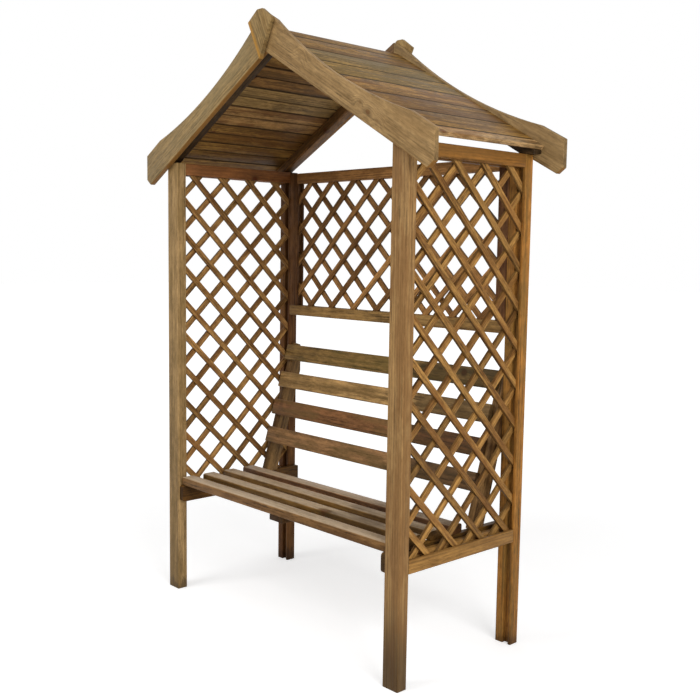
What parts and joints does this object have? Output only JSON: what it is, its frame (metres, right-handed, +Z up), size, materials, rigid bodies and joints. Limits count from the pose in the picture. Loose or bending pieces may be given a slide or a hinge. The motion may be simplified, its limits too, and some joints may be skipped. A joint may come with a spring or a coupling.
{
  "type": "arbour seat",
  "caption": "Timber garden arbour: slatted bench with a raked slatted back between lattice trellis sides, under a pitched board roof with curved barge boards.",
  "frame": {"origin": "on the ground under the middle of the frame", "axes": "+X to the right along the front, +Y from the open front to the back, +Z up"},
  "size_m": [1.4364, 0.634, 2.028],
  "materials": {
    "frame_timber": "planed pressure-treated softwood, warm brown",
    "trellis_lath": "sawn pressure-treated softwood lath, golden brown",
    "seat_timber": "planed softwood with rounded edges, weathered pale",
    "back_timber": "planed pressure-treated softwood, olive brown",
    "barge_timber": "planed pressure-treated softwood, pale tan",
    "roof_board": "profiled softwood boards, grey brown"
  },
  "bodies": {
    "root": {"apex_plate_front": "barge_timber", "apex_plate_rear": "barge_timber", "back_bottom_rail": "frame_timber", "back_slat_1": "back_timber", "back_slat_2": "back_timber", "back_slat_3": "back_timber", "back_slat_4": "back_timber", "back_stile_left": "frame_timber", "back_stile_right": "frame_timber", "back_support_left": "back_timber", "back_support_right": "back_timber", "back_top_rail": "frame_timber", "back_trellis": "trellis_lath", "barge_board_front_left": "barge_timber", "barge_board_front_right": "barge_timber", "barge_board_rear_left": "barge_timber", "barge_board_rear_right": "barge_timber", "post_front_left": "frame_timber", "post_front_right": "frame_timber", "post_rear_left": "frame_timber", "post_rear_right": "frame_timber", "rafter_front_left": "frame_timber", "rafter_front_right": "frame_timber", "rafter_rear_left": "frame_timber", "rafter_rear_right": "frame_timber", "roof_board_left_1": "roof_board", "roof_board_left_2": "roof_board", "roof_board_left_3": "roof_board", "roof_board_left_4": "roof_board", "roof_board_left_5": "roof_board", "roof_board_left_6": "roof_board", "roof_board_left_7": "roof_board", "roof_board_left_8": "roof_board", "roof_board_right_1": "roof_board", "roof_board_right_2": "roof_board", "roof_board_right_3": "roof_board", "roof_board_right_4": "roof_board", "roof_board_right_5": "roof_board", "roof_board_right_6": "roof_board", "roof_board_right_7": "roof_board", "roof_board_right_8": "roof_board", "seat_batten": "seat_timber", "seat_bearer_left": "seat_timber", "seat_bearer_right": "seat_timber", "seat_slat_1": "seat_timber", "seat_slat_2": "seat_timber", "seat_slat_3": "seat_timber", "seat_slat_4": "seat_timber", "side_bottom_rail_left": "frame_timber", "side_bottom_rail_right": "frame_timber", "side_top_rail_left": "frame_timber", "side_top_rail_right": "frame_timber", "side_trellis_left": "trellis_lath", "side_trellis_right": "trellis_lath"}
  },
  "joints": []
}
